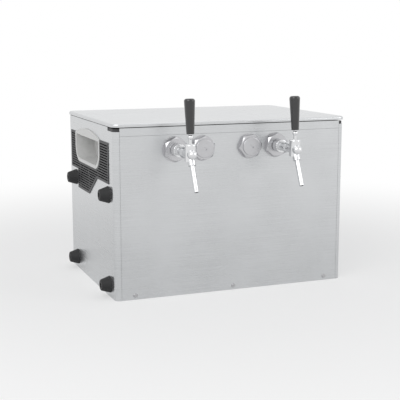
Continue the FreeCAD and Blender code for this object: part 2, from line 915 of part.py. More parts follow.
def handle_cup():
    outer = left - cup_proud
    rim = cup_block(0.0, outer, left)
    body = cup_block(cup_flange, left, left + cup_depth)
    hollow = cup_block(cup_flange + cup_wall, outer - 1, left + cup_depth - cup_wall)
    lip_low = cup_crown - cup_flange - cup_lip_height
    lip = cup_block(cup_flange + 1.0, outer, outer + cup_lip_depth)
    lip = lip.common(box(outer, outer + cup_lip_depth, front, back, lip_low, cup_crown))
    return join([join([rim, body]).cut(hollow), lip])


def buffer_places():
    return [(front + depth, height) for height in buffer_heights for depth in buffer_depths]


def side_buffers():
    cones = []
    for y, z in buffer_places():
        bumper = cone((left, y, z), (-1, 0, 0), buffer_base, buffer_tip, buffer_length)
        tip = [e for e in bumper.Edges if abs(e.BoundBox.XMax - (left - buffer_length)) < 0.01]
        bumper = bumper.makeFillet(buffer_round, tip)
        recess = rod((left - buffer_length - 1, y, z), (1, 0, 0), screw_head + buffer_head_gap,
                     buffer_recess + 1)
        bore = rod((left - buffer_length, y, z), (1, 0, 0), screw_radius + bore_gap, buffer_length + 1)
        cones.append(bumper.cut(recess).cut(bore))
    return Part.makeCompound(cones)


def buffer_screws():
    screws = []
    for y, z in buffer_places():
        seat = left - buffer_length + buffer_recess
        shaft = rod((seat, y, z), (1, 0, 0), screw_radius,
                    buffer_length - buffer_recess + buffer_screw_past)
        head = rod((seat, y, z), (-1, 0, 0), screw_head, buffer_head)
        slot = box(seat - buffer_head - cut_over, seat - buffer_head + screw_slot_depth,
                   y - screw_head, y + screw_head, z - screw_slot / 2, z + screw_slot / 2)
        nut = rod((left + sheet, y, z), (1, 0, 0), 2 * screw_radius, buffer_nut)
        screws.append(join([shaft, head, nut]).cut(slot))
    return Part.makeCompound(screws)


# ---- refrigeration ----

def compressor():
    can = rod((compressor_x, compressor_y, compressor_bottom), (0, 0, 1), compressor_radius,
              compressor_top - compressor_bottom)
    rims = [e for e in can.Edges if len(e.Vertexes) == 1]
    can = can.makeFillet(compressor_round, rims)
    plate = box(compressor_x - foot_half_x, compressor_x + foot_half_x,
                compressor_y - foot_half_y, compressor_y + foot_half_y,
                compressor_bottom - foot_thickness, compressor_bottom + 1.0)
    stub = rod((compressor_x + stub_offset, compressor_y, compressor_top - stub_root), (0, 0, 1),
               stub_radius, stub_rise + stub_root)
    outlet = rod((outlet_x(), outlet_y(), outlet_height), (0, 1, 0), stub_radius, outlet_length)
    box_cover = box(compressor_x + compressor_radius - cover_root,
                    compressor_x + compressor_radius + cover_proud,
                    compressor_y - cover_half_width, compressor_y + cover_half_width,
                    cover_bottom, cover_top)
    body = join([can, plate, stub, outlet, box_cover])
    for x, y in foot_places():
        body = body.cut(rod((x, y, 0), (0, 0, 1), stud_radius + foot_hole_gap, 2 * compressor_bottom))
    return body


def outlet_x():
    return compressor_x - outlet_offset


def outlet_y():
    return compressor_y - compressor_radius - outlet_stand_off


def foot_places():
    dx = foot_half_x - foot_inset
    dy = foot_half_y - foot_inset
    return [(compressor_x + a * dx, compressor_y + b * dy) for a in (-1, 1) for b in (-1, 1)]


def compressor_grommets():
    pads = []
    low = sheet
    high = compressor_bottom - foot_thickness
    for x, y in foot_places():
        pad = rod((x, y, low), (0, 0, 1), grommet_radius, high - low)
        neck = rod((x, y, low), (0, 0, 1), stud_radius + grommet_neck,
                   high - low + foot_thickness + foot_hole_gap)
        bore = rod((x, y, low - 1), (0, 0, 1), stud_radius + bore_gap, 2 * compressor_bottom)
        pads.append(join([pad, neck]).cut(bore))
    return Part.makeCompound(pads)


def compressor_studs():
    studs = []
    high = compressor_bottom + stud_head_gap
    for x, y in foot_places():
        shaft = rod((x, y, sheet), (0, 0, 1), stud_radius, high - sheet + 2 * stud_washer)
        washer = rod((x, y, high), (0, 0, 1), stud_washer_radius, stud_washer)
        studs.append(join([shaft, washer]))
    return Part.makeCompound(studs)


def condenser_row_heights():
    return [condenser_bottom + condenser_row_pitch * (row + 0.5) for row in range(condenser_rows)]


def condenser_top():
    return condenser_bottom + condenser_rows * condenser_row_pitch


def condenser():
    """Serpentine tube in a stack of fins, with the pipes brazed to its two ends."""
    near = condenser_front - bend_reach
    far = condenser_back + bend_reach
    path = []
    for index, z in enumerate(condenser_row_heights()):
        ends = [(condenser_x, far, z), (condenser_x, near, z)]
        path += ends if index % 2 == 0 else ends[::-1]
    core = tube_run(path, coil_tube)
    half_x = condenser_thickness / 2
    count = int((condenser_back - condenser_front) / fin_pitch)
    for index in range(count + 1):
        y = condenser_front + index * fin_pitch
        fin = box(condenser_x - half_x, condenser_x + half_x, y, y + fin_thickness,
                  2 * sheet, condenser_top())
        core = core.fuse(fin)
    tray = box(condenser_x - half_x, condenser_x + half_x, condenser_front - tray_over,
               condenser_back + tray_over, sheet, 3 * sheet)
    return join([core, tray, discharge_line(far), liquid_line(far)])


def discharge_line(start_y):
    """Pipe from the compressor's outlet to the condenser's top row."""
    top = condenser_row_heights()[-1]
    reach = start_y + line_step
    return tube_run([(outlet_x(), outlet_y(), outlet_height), (outlet_x(), reach, outlet_height),
                     (condenser_x, reach, outlet_height), (condenser_x, reach, top),
                     (condenser_x, start_y - 1, top)], pipe_radius)


def liquid_line(start_y):
    """Pipe from the condenser's bottom row to the filter drier."""
    low = condenser_row_heights()[0]
    reach = start_y + line_step
    return tube_run([(condenser_x, start_y - 1, low), (condenser_x, reach, low),
                     (condenser_x, reach, liquid_height), (drier_x, reach, liquid_height),
                     (drier_x, drier_y, liquid_height), (drier_x, drier_y, drier_bottom)], pipe_radius)


def fan_centre():
    return ((condenser_front + condenser_back) / 2, (condenser_bottom + condenser_top()) / 2)


def fan_plane():
    return condenser_x + condenser_thickness / 2 + shroud_gap


def fan_shroud():
    x0 = fan_plane()
    y, z = fan_centre()
    plate = box(x0, x0 + shroud_sheet, condenser_front, condenser_back, sheet, condenser_top())
    inner = fan_radius + fan_tip_gap
    ring = rod((x0, y, z), (1, 0, 0), inner + shroud_ring, tunnel_length)
    foot = box(x0, x0 + shroud_foot, condenser_front, condenser_back, sheet, 2 * sheet)
    body = join([plate, ring, foot])
    body = body.cut(rod((x0 - 1, y, z), (1, 0, 0), inner, tunnel_length + 2))
    arms = []
    x1 = x0 + tunnel_length
    for turn in (0.0, 90.0):
        arm = box(x1 - spider_thickness, x1, y - inner - shroud_ring / 2, y + inner + shroud_ring / 2,
                  z - spider_arm / 2, z + spider_arm / 2)
        arm.rotate(Vector(x1, y, z), Vector(1, 0, 0), turn)
        arms.append(arm)
    arms.append(rod((x1 - spider_thickness, y, z), (1, 0, 0), motor_radius, spider_thickness))
    hole = rod((x1 - spider_thickness - 1, y, z), (1, 0, 0), spider_hole, spider_thickness + 2)
    return join([body, join(arms).cut(hole)])


def fan_motor():
    x0 = fan_plane() + tunnel_length
    y, z = fan_centre()
    can = rod((x0, y, z), (1, 0, 0), motor_radius, motor_length)
    rims = [e for e in can.Edges if len(e.Vertexes) == 1 and e.BoundBox.XMin > x0 + 1]
    can = can.makeFillet(motor_round, rims)
    return can.cut(rod((x0 - 1, y, z), (1, 0, 0), fan_shaft_radius + running_gap, motor_socket + 1))


def fan_shaft():
    x0 = fan_plane() + fan_shaft_start
    x1 = fan_plane() + tunnel_length + fan_shaft_in_motor
    y, z = fan_centre()
    return rod((x0, y, z), (1, 0, 0), fan_shaft_radius, x1 - x0)


def fan_blade():
    x0 = fan_plane() + fan_hub_start
    y, z = fan_centre()
    pieces = [rod((x0, y, z), (1, 0, 0), fan_hub, fan_hub_length)]
    for step in range(fan_blades):
        blade = box(x0 + blade_start, x0 + blade_start + blade_thickness, y - blade_half_width,
                    y + blade_half_width, z + fan_hub - blade_root, z + fan_radius)
        blade.rotate(Vector(x0 + fan_hub_length / 2, y, z), Vector(0, 0, 1), blade_twist)
        blade.rotate(Vector(x0, y, z), Vector(1, 0, 0), 360.0 / fan_blades * step)
        pieces.append(blade)
    sweep = rod((x0 - 1, y, z), (1, 0, 0), fan_radius, fan_hub_length + 2)
    bore = rod((x0 - 1, y, z), (1, 0, 0), fan_shaft_radius, fan_hub_length + 2)
    return join(pieces).common(sweep).cut(bore)


def filter_drier():
    can = rod((drier_x, drier_y, drier_bottom), (0, 0, 1), drier_radius, drier_length)
    return can.makeFillet(drier_round, [e for e in can.Edges if len(e.Vertexes) == 1])


def capillary_line(outside):
    """Thin pipe from the drier to the evaporator."""
    return tube_run([(drier_x, drier_y, drier_bottom + drier_length),
                     (drier_x, drier_y, line_height_2), (drier_x, 0.0, line_height_2),
                     (outside, 0.0, line_height_2)], capillary_radius)


def suction_line(outside):
    """Return pipe from the evaporator to the compressor."""
    drop_x = drier_x - suction_offset
    return tube_run([(outside, 0.0, line_height_1), (drop_x, 0.0, line_height_1),
                     (drop_x, compressor_y, line_height_1),
                     (compressor_x + stub_offset, compressor_y, line_height_1),
                     (compressor_x + stub_offset, compressor_y, compressor_top + stub_rise)], coil_tube)


# ---- taps ----

def shank_tail_y():
    return front + shank_tail_reach


def shank(x):
    """Threaded tube through the front panel, with a collar on the inside."""
    thread = rod((x, front - shank_reach, port_height), (0, 1, 0), shank_radius,
                 shank_reach + shank_inside)
    collar = rod((x, front + sheet + bore_gap, port_height), (0, 1, 0), shank_collar,
                 shank_collar_thickness)
    tail = rod((x, front + shank_inside, port_height), (0, 1, 0), shank_tail_radius,
               shank_tail_reach - shank_inside)
    bore = rod((x, front - shank_reach - 1, port_height), (0, 1, 0), shank_bore,
               shank_reach + shank_tail_reach + 2)
    return join([thread, collar, tail]).cut(bore)


def port_nut(x, turn):
    """Hexagonal nut with its washer face against the front panel."""
    washer = rod((x, front, port_height), (0, -1, 0), port_washer_radius, port_washer_thickness)
    block = chamfered_nut((x, front - port_washer_thickness, port_height), port_nut_flats,
                          port_nut_thickness, turn)
    bore = rod((x, front + 1, port_height), (0, -1, 0), shank_radius + running_gap,
               port_washer_thickness + port_nut_thickness + 2)
    return join([washer, block]).cut(bore)


def tap_coupling(x):
    """Ribbed union nut that pulls the tap onto its shank."""
    start = front - coupling_start
    ring = rod((x, start, port_height), (0, -1, 0), coupling_radius, coupling_length)
    ring = ring.makeFillet(coupling_round, [e for e in ring.Edges if len(e.Vertexes) == 1])
    grooves = []
    reach = coupling_radius + groove_offset
    for step in range(coupling_grooves):
        angle = math.radians(360.0 / coupling_grooves * step)
        place = (x + reach * math.cos(angle), start + 1, port_height + reach * math.sin(angle))
        grooves.append(rod(place, (0, -1, 0), groove_radius, coupling_length + 2))
    ring = ring.cut(Part.makeCompound(grooves))
    mouth = (x, start + 1, port_height)
    threaded = shank_reach - coupling_start + 2
    ring = ring.cut(rod(mouth, (0, -1, 0), shank_radius + running_gap, threaded))
    return ring.cut(rod(mouth, (0, -1, 0), barrel_radius + bore_gap, coupling_length + 2))


def tap_body(x):
    """Barrel with the valve's bore, the tower that carries the bonnet and the spout's boss."""
    reach = tap_reach + barrel_past_tower
    start = front - tap_barrel_start
    barrel = rod((x, start, port_height), (0, -1, 0), barrel_radius, reach - tap_barrel_start)
    nose = ball((x, front - reach, port_height), barrel_radius)
    tower = rod((x, tap_y, port_height - tower_bottom), (0, 0, 1), tower_radius,
                tower_bottom + tower_top)
    collar = rod((x, front - barrel_collar_reach, port_height), (0, -1, 0),
                 barrel_radius + barrel_collar_rise, barrel_collar_length)
    boss = rod(spout_point(x, spout_start - barrel_collar_rise), spout_way(),
               spout_radius + spout_boss_rise, spout_boss_length)
    body = join([barrel, nose, tower, collar, boss])
    valve_length = tap_reach - plunger_seat + plunger_nose + 2
    body = body.cut(rod((x, front - plunger_seat, port_height), (0, -1, 0),
                        plunger_radius + running_gap, valve_length))
    body = body.cut(rod((x, start + 1, port_height), (0, -1, 0), shank_bore,
                        plunger_seat - tap_barrel_start + 2))
    body = body.cut(box(x - lever_way_half, x + lever_way_half, tap_y - lever_way_front,
                        tap_y + lever_way_back, port_height, port_height + 2 * tower_top))
    body = body.cut(rod(spout_point(x, spout_start), spout_way(), spout_radius + spout_fit,
                        2 * spout_boss_length))
    body = body.cut(ball((x, tap_y, pivot_z), lever_ball + fit_gap))
    return body.cut(rod((x, tap_y, port_height), spout_way(), spout_bore, 2 * spout_start))


def spout_way():
    angle = math.radians(spout_angle)
    return (0.0, -math.sin(angle), -math.cos(angle))


def spout_point(x, distance):
    way = spout_way()
    return (x, tap_y + way[1] * distance, port_height + way[2] * distance)


def spout(x):
    tube = rod(spout_point(x, spout_start), spout_way(), spout_radius, spout_length)
    bore = rod(spout_point(x, spout_start - 1), spout_way(), spout_bore, spout_length + 2)
    return tube.cut(bore)


def bonnet(x):
    """Cap on the tap's tower that holds the ball of the lever."""
    low = port_height + tower_top
    height = bonnet_top - tower_top
    cap = rod((x, tap_y, low), (0, 0, 1), tower_radius, height)
    cap = cap.makeFillet(bonnet_round, [e for e in cap.Edges
                                         if len(e.Vertexes) == 1 and e.BoundBox.ZMin > low + 1])
    cap = cap.cut(ball((x, tap_y, pivot_z), lever_ball + fit_gap))
    cap = cap.cut(rod((x - lever_pin_half - fit_gap, tap_y, pivot_z), (1, 0, 0),
                      lever_pin + running_gap, 2 * (lever_pin_half + fit_gap)))
    slot_x = lever_stem + fit_gap
    cap = cap.cut(box(x - slot_x, x + slot_x, tap_y - bonnet_way_front, tap_y + bonnet_way_back,
                      pivot_z, pivot_z + height))
    return cap.cut(box(x - foot_way_half, x + foot_way_half, tap_y - foot_way_front,
                       tap_y + foot_way_back, low - 1, pivot_z))


def lever(x):
    joint = ball((x, tap_y, pivot_z), lever_ball)
    stem = rod((x, tap_y, pivot_z), (0, 0, 1), lever_stem,
               handle_base - pivot_height + stem_in_handle)
    collar = ball((x, tap_y, port_height + handle_base - lever_collar_drop), lever_collar)
    foot = rod((x, tap_y, port_height), (0, 0, 1), lever_foot, pivot_height)
    toe = ball((x, tap_y, port_height), foot_ball)
    pin = rod((x - lever_pin_half, tap_y, pivot_z), (1, 0, 0), lever_pin, 2 * lever_pin_half)
    return join([joint, stem, collar, foot, toe, pin])


def handle(x):
    """Tapered grip with a rounded top, leaning slightly back."""
    low = port_height + handle_base
    straight = handle_length - handle_crown
    grip = cone((x, tap_y, low), (0, 0, 1), handle_bottom_radius, handle_top_radius, straight)
    crown = rod((x, tap_y, low + straight), (0, 0, 1), handle_top_radius, handle_crown)
    body = join([grip, crown])
    top = [e for e in body.Edges if len(e.Vertexes) == 1 and e.BoundBox.ZMin > low + handle_length - 1]
    body = body.makeFillet(handle_crown_round, top)
    low_rim = [e for e in body.Edges if len(e.Vertexes) == 1 and e.BoundBox.ZMax < low + 1]
    body = body.makeFillet(handle_foot_round, low_rim)
    body.rotate(Vector(x, tap_y, low), Vector(1, 0, 0), -handle_lean)
    bore = rod((x, tap_y, pivot_z), (0, 0, 1), lever_stem,
               handle_base - pivot_height + stem_in_handle)
    neck = ball((x, tap_y, port_height + handle_base - lever_collar_drop), lever_collar)
    return body.cut(bore).cut(neck)


def plunger(x):
    """Valve rod along the barrel, with a groove for the toe of the lever."""
    start = tap_y - plunger_nose
    half = foot_ball + fit_gap
    body = rod((x, start, port_height), (0, 1, 0), plunger_radius, plunger_length - plunger_nose)
    narrow = box(x - barrel_radius, x + barrel_radius, tap_y - half, tap_y + half,
                 port_height - half, port_height + tower_top)
    wide = box(x - barrel_radius, x + barrel_radius, tap_y - plunger_flat_front,
               tap_y + 2 * foot_ball, port_height + plunger_neck, port_height + tower_top)
    return body.cut(narrow).cut(wide)


def port_nuts():
    """The four nuts on the front, each tightened to its own angle."""
    return Part.makeCompound([port_nut(x, turn) for x, turn in zip(ports, port_nut_turns)])


def blank_plugs():
    plugs = []
    for x in blank_ports:
        face = front - port_washer_thickness - port_nut_thickness
        disc = rod((x, face, port_height), (0, -1, 0), blank_disc_radius, blank_disc_thickness)
        rim = [e for e in disc.Edges if len(e.Vertexes) == 1 and e.BoundBox.YMin < face - 1]
        disc = disc.makeFillet(blank_disc_round, rim)
        stem = rod((x, face, port_height), (0, 1, 0), shank_radius, blank_shank_length)
        slot = box(x - blank_slot_half_length, x + blank_slot_half_length,
                   face - blank_disc_thickness - 1, face - blank_disc_thickness + blank_slot_depth,
                   port_height - blank_slot_half_width, port_height + blank_slot_half_width)
        slot.rotate(Vector(x, face, port_height), Vector(0, 1, 0), blank_slot_turn)
        plugs.append(join([disc, stem]).cut(slot))
    return Part.makeCompound(plugs)


# ---- rear fittings ----

def inlet_inner_y():
    return back - sheet - inlet_in


def product_inlets():
    """Push-in bulkhead fittings for the two beer lines."""
    fittings = []
    for x in inlet_places():
        body = rod((x, inlet_inner_y(), inlet_height), (0, 1, 0), inlet_body,
                   inlet_in + sheet + inlet_out)
        nut = hexagon((x, back + inlet_nut, inlet_height), inlet_flats, inlet_nut)
        lock = hexagon((x, back - sheet, inlet_height), inlet_flats, inlet_lock)
        mouth = back + inlet_out
        bore = rod((x, mouth - inlet_length, inlet_height), (0, 1, 0), inlet_bore, inlet_length + 1)
        through = rod((x, inlet_inner_y() - 1, inlet_height), (0, 1, 0), inlet_through,
                      inlet_in + inlet_out)
        fittings.append(join([body, nut, lock]).cut(bore).cut(through))
    return Part.makeCompound(fittings)


def power_inlet():
    """Three-pole appliance inlet with the seat of its rocker switch."""
    plate = box(socket_x - socket_half_width, socket_x + socket_half_width,
                back, back + socket_plate,
                socket_height - socket_half_height, socket_height + socket_half_height)
    half_width = socket_half_width - socket_body_inset
    half_height = socket_half_height - socket_body_inset
    body = box(socket_x - half_width, socket_x + half_width, back - socket_body_depth, back,
               socket_height - half_height, socket_height + half_height)
    body = join([plate, body])
    out = back + socket_plate + 1
    well = socket_x - socket_half_width + socket_well_inset
    body = body.cut(box(well, well + socket_well_length, back - socket_well_depth, out,
                        socket_height - socket_well_half, socket_height + socket_well_half))
    contacts = []
    for step in (-1, 0, 1):
        x = well + socket_well_length / 2 + contact_spacing * step
        z = socket_height + (earth_rise if step == 0 else line_drop)
        contacts.append(box(x - contact_half_width, x + contact_half_width,
                            back - socket_well_depth - rim_gap, back - contact_tip,
                            z - contact_half_height, z + contact_half_height))
    x = rocker_x()
    half_width = rocker_half_width + fit_gap
    half_height = rocker_half_height + rocker_pocket_gap
    pocket = box(x - half_width, x + half_width, back - rocker_pocket_depth, out,
                 socket_height - half_height, socket_height + half_height)
    reach = half_width + rocker_pin_past
    seat = rod((x - reach, back - rocker_seat, socket_height), (1, 0, 0), rocker_pin + running_gap,
               2 * reach)
    return join([body.cut(pocket), *contacts]).cut(seat)


def rocker_x():
    return socket_x + socket_half_width - socket_well_inset - rocker_half_width - rocker_side_gap


def power_switch():
    """Rocker of the mains switch: pressed in at its top, standing out below."""
    x = rocker_x() - rocker_half_width
    profile = []
    for out, share, inset in rocker_outline:
        profile.append(Vector(x, back - rocker_seat + out,
                              socket_height + share * rocker_half_height + inset))
    face = Part.Face(Part.makePolygon(profile + profile[:1]))
    body = face.extrude(Vector(2 * rocker_half_width, 0, 0))
    reach = rocker_half_width + rocker_pin_past
    pin = rod((rocker_x() - reach, back - rocker_seat, socket_height), (1, 0, 0), rocker_pin,
              2 * reach)
    return join([body, pin])


def thermostat():
    """Capillary thermostat behind the rear panel, with the spindle's bore."""
    inside = back - sheet
    body = box(dial_x - thermostat_half_width, dial_x + thermostat_half_width,
               inside - thermostat_depth, inside,
               dial_height - thermostat_half_height, dial_height + thermostat_half_height)
    neck = rod((dial_x, inside - 1, dial_height), (0, 1, 0), dial_shaft + thermostat_neck,
               1 + sheet + thermostat_neck_out)
    bore = rod((dial_x, back - thermostat_bore, dial_height), (0, 1, 0), dial_shaft + running_gap,
               2 * thermostat_bore)
    return join([body, neck]).cut(bore)


def thermostat_dial():
    """Ribbed knob with its pointer line and its spindle."""
    face = back + dial_gap
    knob = rod((dial_x, face, dial_height), (0, 1, 0), dial_radius, dial_length)
    rims = [e for e in knob.Edges if len(e.Vertexes) == 1 and e.BoundBox.YMin > face + 1]
    knob = knob.makeFillet(dial_round, rims)
    reach = dial_radius + dial_grip_offset
    grips = []
    for step in range(dial_grips):
        angle = math.radians(360.0 / dial_grips * (step + 0.5))
        place = (dial_x + reach * math.cos(angle), face + dial_grip_start,
                 dial_height + reach * math.sin(angle))
        grips.append(rod(place, (0, 1, 0), dial_grip_radius, dial_length))
    knob = knob.cut(Part.makeCompound(grips))
    mark = box(dial_x - dial_mark_half, dial_x + dial_mark_half,
               face + dial_length - dial_mark_half, face + dial_length + 1,
               dial_height + dial_mark_start, dial_height + dial_radius - dial_mark_end)
    spindle = rod((dial_x, back - dial_shaft_depth, dial_height), (0, 1, 0), dial_shaft,
                  dial_shaft_depth + 2 * dial_gap)
    return join([knob.cut(mark), spindle])


def all_nodes():
    nodes = {
        "left_side_panel": side_panel(-1),
        "right_side_panel": side_panel(1),
        "base_pan": base_pan(),
        "front_panel": front_panel(),
        "front_rail": front_rail(),
        "front_screws": screws_towards_inside(front_screw_places(), front_screw_head,
                                              front_screw_length),
        "back_panel": back_panel(),
        "deck": deck(),
        "inner_tank": inner_tank(),
        "insulation": insulation(),
        "lid_shell": lid_shell(),
        "lid_liner": lid_liner(),
        "lid_gasket": lid_gasket(),
        "lid_hinge_leaves": hinge_parts(True),
        "cabinet_hinge_leaves": hinge_parts(False),
        "hinge_pins": hinge_pins(),
        "left_grille": side_grille(),
        "left_handle_cup": handle_cup(),
        "right_handle_cup": mirrored(handle_cup()),
        "side_buffers": side_buffers(),
        "buffer_screws": buffer_screws(),
        "compressor": compressor(),
        "compressor_grommets": compressor_grommets(),
        "compressor_studs": compressor_studs(),
        "condenser": condenser(),
        "fan_shroud": fan_shroud(),
        "fan_motor": fan_motor(),
        "fan_shaft": fan_shaft(),
        "fan_blade": fan_blade(),
        "filter_drier": filter_drier(),
        "evaporator_coil": evaporator_coil(),
        "product_coil_1": product_coil_1(),
        "product_coil_2": product_coil_2(),
        "agitator_bridge": agitator_bridge(),
        "agitator_motor": agitator_motor(),
        "agitator_shaft": agitator_shaft(),
        "agitator_impeller": agitator_impeller(),
        "blank_plugs": blank_plugs(),
        "port_nuts": port_nuts(),
        "tap_couplings": Part.makeCompound([tap_coupling(x) for x in tap_ports]),
        "product_inlets": product_inlets(),
        "power_inlet": power_inlet(),
        "power_switch": power_switch(),
        "thermostat": thermostat(),
        "thermostat_dial": thermostat_dial(),
    }
    for number, x in enumerate(tap_ports, start=1):
        nodes[f"tap_{number}_shank"] = shank(x)
        nodes[f"tap_{number}_body"] = tap_body(x)
        nodes[f"tap_{number}_bonnet"] = bonnet(x)
        nodes[f"tap_{number}_spout"] = spout(x)
        nodes[f"tap_{number}_plunger"] = plunger(x)
        nodes[f"tap_{number}_lever"] = lever(x)
        nodes[f"tap_{number}_handle"] = handle(x)
    return nodes


os.makedirs("parts", exist_ok=True)
for name, shape in all_nodes().items():
    shape.exportStep(f"parts/{name}.step")
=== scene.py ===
import json
import math
import bmesh
import bpy
import numpy as np
from mathutils import Matrix, Vector

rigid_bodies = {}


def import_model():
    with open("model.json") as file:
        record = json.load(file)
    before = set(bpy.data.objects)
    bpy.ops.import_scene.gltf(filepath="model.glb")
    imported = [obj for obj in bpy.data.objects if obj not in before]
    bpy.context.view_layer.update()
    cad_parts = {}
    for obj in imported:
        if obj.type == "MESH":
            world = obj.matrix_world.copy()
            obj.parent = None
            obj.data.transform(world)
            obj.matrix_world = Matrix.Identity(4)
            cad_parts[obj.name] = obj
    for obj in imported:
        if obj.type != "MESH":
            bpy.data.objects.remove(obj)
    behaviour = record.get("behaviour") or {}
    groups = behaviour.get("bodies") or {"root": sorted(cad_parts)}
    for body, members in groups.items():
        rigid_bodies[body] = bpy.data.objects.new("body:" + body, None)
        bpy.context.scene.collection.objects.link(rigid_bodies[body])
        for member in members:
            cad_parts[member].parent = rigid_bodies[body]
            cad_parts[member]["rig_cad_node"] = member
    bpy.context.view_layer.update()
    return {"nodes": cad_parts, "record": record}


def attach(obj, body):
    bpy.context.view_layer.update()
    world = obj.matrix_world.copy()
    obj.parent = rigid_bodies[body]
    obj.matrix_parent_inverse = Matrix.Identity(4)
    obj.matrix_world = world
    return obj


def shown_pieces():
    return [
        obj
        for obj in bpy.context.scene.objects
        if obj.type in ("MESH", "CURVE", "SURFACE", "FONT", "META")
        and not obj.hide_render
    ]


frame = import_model()
nodes = frame["nodes"]
scene = bpy.context.scene
millimetre = 0.001
mergeDistance = 1e-5
rearFace = 205.0

# the camera stands a little right of centre and looks slightly down
viewPoint = {
    "unit": 0.4,
    "corner": (-0.2875, -0.205, 0.0),
    "place": (-1.3751, -4.8103, 1.4551),
    "yaw": 21.377,
    "pitch": 9.950,
    "roll": -0.017,
    "focal": 917.17,
    "width": 400,
    "sensor": 36.0,
    "nearest": 0.05,
    "farthest": 100.0,
}


def makeCamera():
    yaw, pitch, roll = [math.radians(viewPoint[key]) for key in ("yaw", "pitch", "roll")]
    forward = Vector((math.sin(yaw) * math.cos(pitch), math.cos(yaw) * math.cos(pitch), -math.sin(pitch)))
    sideways = Vector((math.cos(yaw), -math.sin(yaw), 0.0))
    upward = sideways.cross(forward)
    right = sideways * math.cos(roll) + upward * math.sin(roll)
    up = upward * math.cos(roll) - sideways * math.sin(roll)
    place = Vector([viewPoint["unit"] * p + c for p, c in zip(viewPoint["place"], viewPoint["corner"])])
    data = bpy.data.cameras.new("studioCamera")
    data.sensor_width = viewPoint["sensor"]
    data.lens = viewPoint["focal"] * viewPoint["sensor"] / viewPoint["width"]
    data.clip_start = viewPoint["nearest"]
    data.clip_end = viewPoint["farthest"]
    camera = bpy.data.objects.new("studioCamera", data)
    camera.matrix_world = Matrix.Translation(place) @ Matrix((right, up, -forward)).transposed().to_4x4()
    scene.collection.objects.link(camera)
    scene.camera = camera


makeCamera()
print("camera ready")


def addNode(tree, kind, **values):
    node = tree.nodes.new(kind)
    for name, value in values.items():
        node.inputs[name.replace("_", " ")].default_value = value
    return node


# what every finish shares, unless its own row says otherwise
common = {"specular": 0.5, "coatRough": 0.1, "detail": 4.0, "smudge": 9.0, "tone": 0.05,
          "roughSpread": 0.06, "leastRough": 0.03, "relief": 0.1, "reliefDepth": 0.0002,
          "grainRough": 0.6, "smudgeDetail": 5.0, "smudgeRough": 0.55,
          "rampLow": 0.3, "rampHigh": 0.7, "grainShare": 0.65, "smudgeShare": 0.35}


# fine grain, broad smudges and a little relief, all from Object coordinates
def makeFinish(name, ownLook):
    look = {**common, **ownLook}
    material = bpy.data.materials.new(name)
    material.use_nodes = True
    tree = material.node_tree
    link = tree.links.new
    shader = tree.nodes["Principled BSDF"]
    shader.inputs["Metallic"].default_value = look.get("metallic", 0.0)
    shader.inputs["Specular IOR Level"].default_value = look["specular"]
    if "coat" in look:
        shader.inputs["Coat Weight"].default_value = look["coat"]
        shader.inputs["Coat Roughness"].default_value = look["coatRough"]
    if "anisotropic" in look:
        shader.inputs["Anisotropic"].default_value = look["anisotropic"]
    place = tree.nodes.new("ShaderNodeTexCoord")
    stretch = addNode(tree, "ShaderNodeMapping", Scale=look["grain"])
    fine = addNode(tree, "ShaderNodeTexNoise", Scale=1.0, Detail=look["detail"],
                   Roughness=look["grainRough"])
    broad = addNode(tree, "ShaderNodeTexNoise", Scale=look["smudge"], Detail=look["smudgeDetail"],
                    Roughness=look["smudgeRough"])
    link(place.outputs["Object"], stretch.inputs["Vector"])
    link(stretch.outputs["Vector"], fine.inputs["Vector"])
    link(place.outputs["Object"], broad.inputs["Vector"])

    tones = tree.nodes.new("ShaderNodeValToRGB")
    spread = look["tone"]
    tones.color_ramp.elements[0].position = look["rampLow"]
    tones.color_ramp.elements[1].position = look["rampHigh"]
    tones.color_ramp.elements[0].color = (*[max(0.0, c * (1 - spread)) for c in look["colour"]], 1)
    tones.color_ramp.elements[1].color = (*[min(1.0, c * (1 + spread)) for c in look["colour"]], 1)
    blendTone = tree.nodes.new("ShaderNodeMath")
    blendTone.operation = "MULTIPLY_ADD"
    blendTone.inputs[1].default_value = look["grainShare"]
    halfBroad = tree.nodes.new("ShaderNodeMath")
    halfBroad.operation = "MULTIPLY"
    halfBroad.inputs[1].default_value = look["smudgeShare"]
    link(broad.outputs["Fac"], halfBroad.inputs[0])
    link(fine.outputs["Fac"], blendTone.inputs[0])
    link(halfBroad.outputs["Value"], blendTone.inputs[2])
    link(blendTone.outputs["Value"], tones.inputs["Fac"])
    link(tones.outputs["Color"], shader.inputs["Base Color"])

    rough = tree.nodes.new("ShaderNodeMapRange")
    rough.inputs["From Min"].default_value = look["rampLow"]
    rough.inputs["From Max"].default_value = look["rampHigh"]
    rough.inputs["To Min"].default_value = max(look["leastRough"], look["rough"] - look["roughSpread"])
    rough.inputs["To Max"].default_value = look["rough"] + look["roughSpread"]
    link(blendTone.outputs["Value"], rough.inputs["Value"])
    link(rough.outputs["Result"], shader.inputs["Roughness"])

    relief = tree.nodes.new("ShaderNodeBump")
    relief.inputs["Strength"].default_value = look["relief"]
    relief.inputs["Distance"].default_value = look["reliefDepth"]
    link(fine.outputs["Fac"], relief.inputs["Height"])
    link(relief.outputs["Normal"], shader.inputs["Normal"])
    return material


